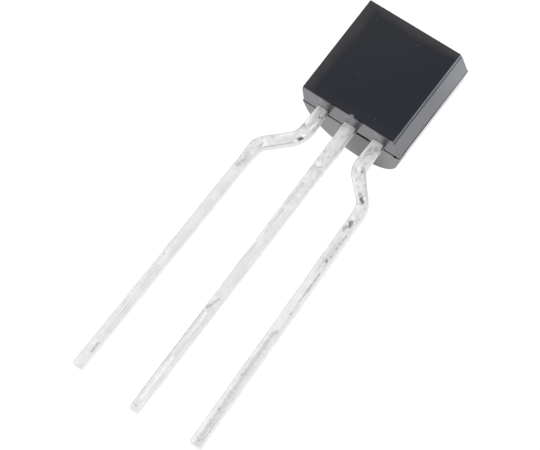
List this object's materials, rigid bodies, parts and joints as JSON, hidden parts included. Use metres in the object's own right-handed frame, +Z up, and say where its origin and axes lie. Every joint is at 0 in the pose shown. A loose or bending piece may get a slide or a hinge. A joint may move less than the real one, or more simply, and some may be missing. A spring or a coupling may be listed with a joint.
{
  "type": "temperature sensor",
  "caption": "Black moulded temperature sensor with a flat front, a rounded back and tinned leads whose outer ones are jogged to a wider spacing.",
  "frame": {"origin": "centre of the bounding box, on the surface that the part lies on", "axes": "+Z up, out of the surface it lies on, with the flat front tilted about ten degrees off level; -Y along the leads towards their tips; +X across the leads, from the ground lead to the supply lead"},
  "size_m": [0.006, 0.018, 0.0045],
  "materials": {
    "mould_compound": "satin",
    "tinned_lead": "satin",
    "silicon": "polished",
    "die_adhesive": "matte",
    "bond_wire": "polished"
  },
  "bodies": {
    "root": {"moulded_body": "mould_compound", "ground_lead": "tinned_lead", "signal_lead": "tinned_lead", "supply_lead": "tinned_lead", "sensor_die": "silicon", "die_attach": "die_adhesive", "ground_bond_wire": "bond_wire", "signal_bond_wire": "bond_wire", "supply_bond_wire": "bond_wire"}
  },
  "joints": []
}
